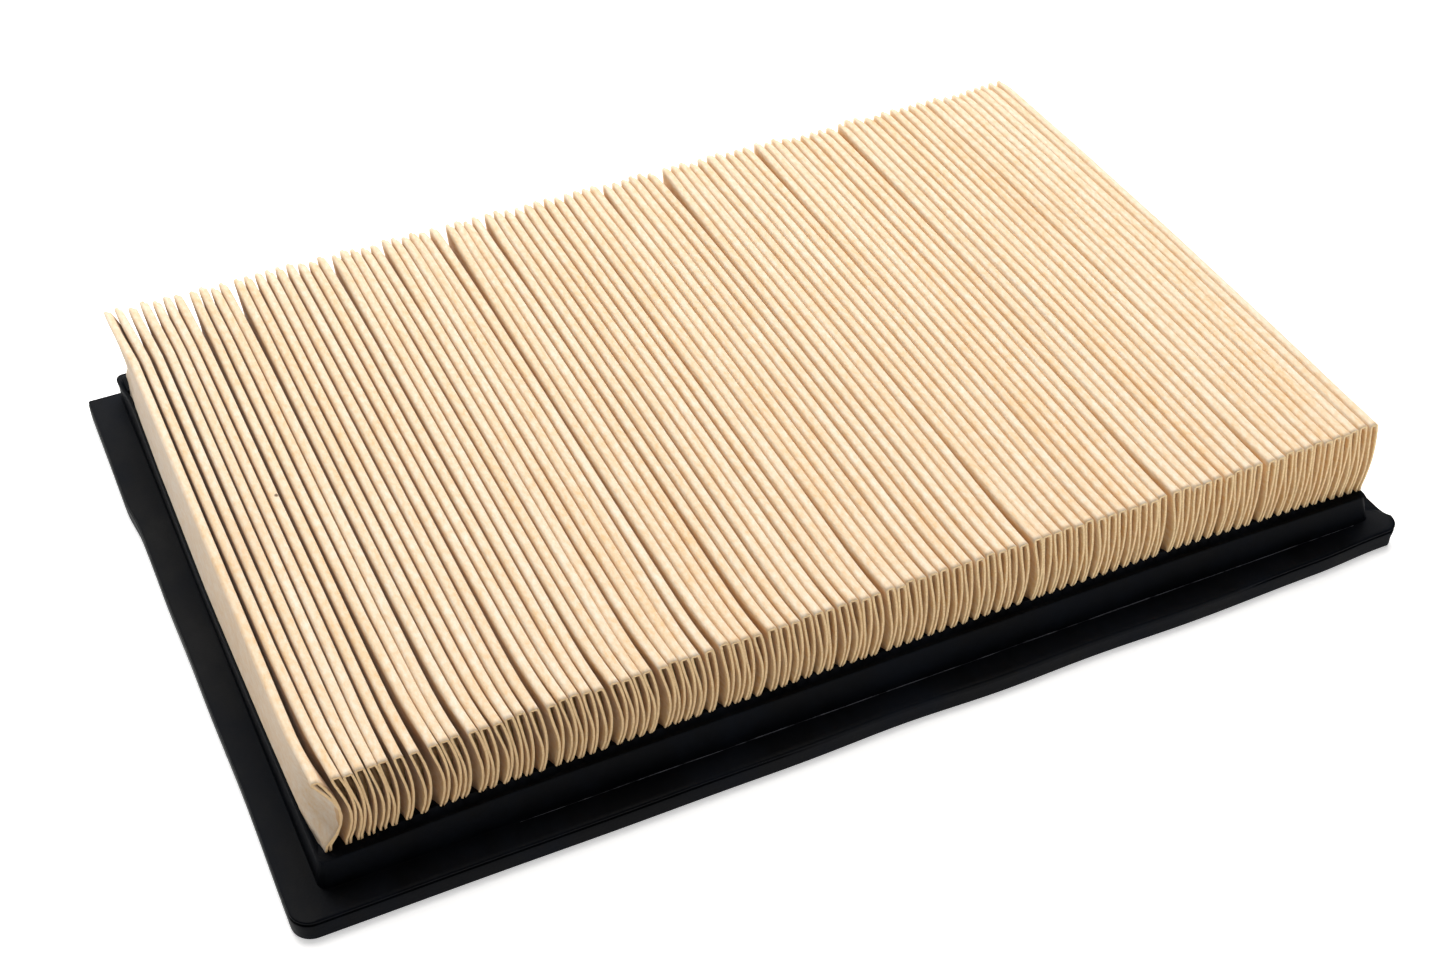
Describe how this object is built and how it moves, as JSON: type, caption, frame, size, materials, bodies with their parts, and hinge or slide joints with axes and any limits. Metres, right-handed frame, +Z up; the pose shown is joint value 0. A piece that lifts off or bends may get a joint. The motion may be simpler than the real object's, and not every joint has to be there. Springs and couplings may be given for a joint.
{
  "type": "air filter",
  "caption": "Rectangular panel air filter: tall folded-paper pack standing in a low black moulded frame with a flat sealing flange and a wire support screen.",
  "frame": {"origin": "middle of the underside of the sealing flange", "axes": "+X across the pleats along the long side, +Y along the pleats, +Z up out of the frame through the pleats' upper folds"},
  "size_m": [0.3, 0.208, 0.0368],
  "materials": {
    "filter_paper": "resin-treated cellulose paper, cream to ochre, dull",
    "frame_foam": "soft cast polyurethane, black, satin skin",
    "adhesive": "set hot-melt adhesive, cloudy amber",
    "screen_wire": "galvanised steel wire"
  },
  "bodies": {
    "root": {"pleated_media": "filter_paper", "moulded_frame": "frame_foam", "front_edge_seals": "adhesive", "rear_edge_seals": "adhesive", "screen_long_wires": "screen_wire", "screen_cross_wires": "screen_wire"}
  },
  "joints": []
}
